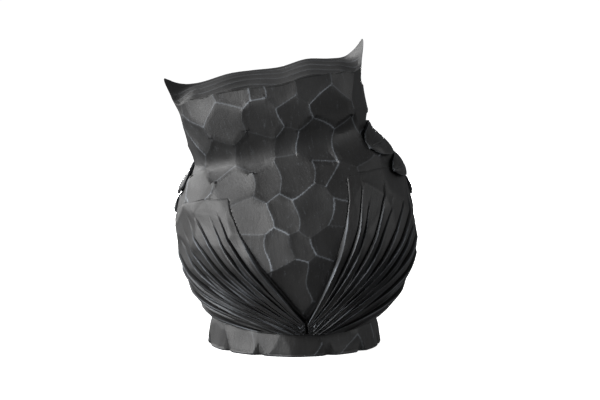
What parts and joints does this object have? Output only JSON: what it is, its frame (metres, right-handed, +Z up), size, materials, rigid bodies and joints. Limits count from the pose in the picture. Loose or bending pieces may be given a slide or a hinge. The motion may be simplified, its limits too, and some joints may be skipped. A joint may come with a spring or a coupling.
{
  "type": "carved wooden owl figurine",
  "caption": "Dark carved wooden owl figurine with a tilted head, long wing feathers fanning up from the tail, and a low base that it stands on.",
  "frame": {"origin": "centre of the flat underside of the foot block, on the surface that the owl stands on", "axes": "+Z up, the owl faces -Y, +X is the owl's left side, towards which it leans"},
  "size_m": [0.1645, 0.1334, 0.1956],
  "materials": {
    "carved_wood": "charcoal stain, gouge facets, satin, ridges rubbed lighter",
    "beak_wood": "dark, smooth, low sheen",
    "eye_glass": "black gloss dome",
    "dowel_wood": "plain unstained dowel"
  },
  "bodies": {
    "root": {"head_and_body_block": "carved_wood", "foot_block": "carved_wood", "left_wing": "carved_wood", "right_wing": "carved_wood", "left_covert_1": "carved_wood", "left_covert_2": "carved_wood", "left_covert_3": "carved_wood", "right_covert_1": "carved_wood", "right_covert_2": "carved_wood", "right_covert_3": "carved_wood", "beak": "beak_wood", "left_eye": "eye_glass", "right_eye": "eye_glass", "left_foot_dowel": "dowel_wood", "right_foot_dowel": "dowel_wood", "left_wing_peg_1": "dowel_wood", "left_wing_peg_2": "dowel_wood", "right_wing_peg_1": "dowel_wood", "right_wing_peg_2": "dowel_wood"}
  },
  "joints": []
}
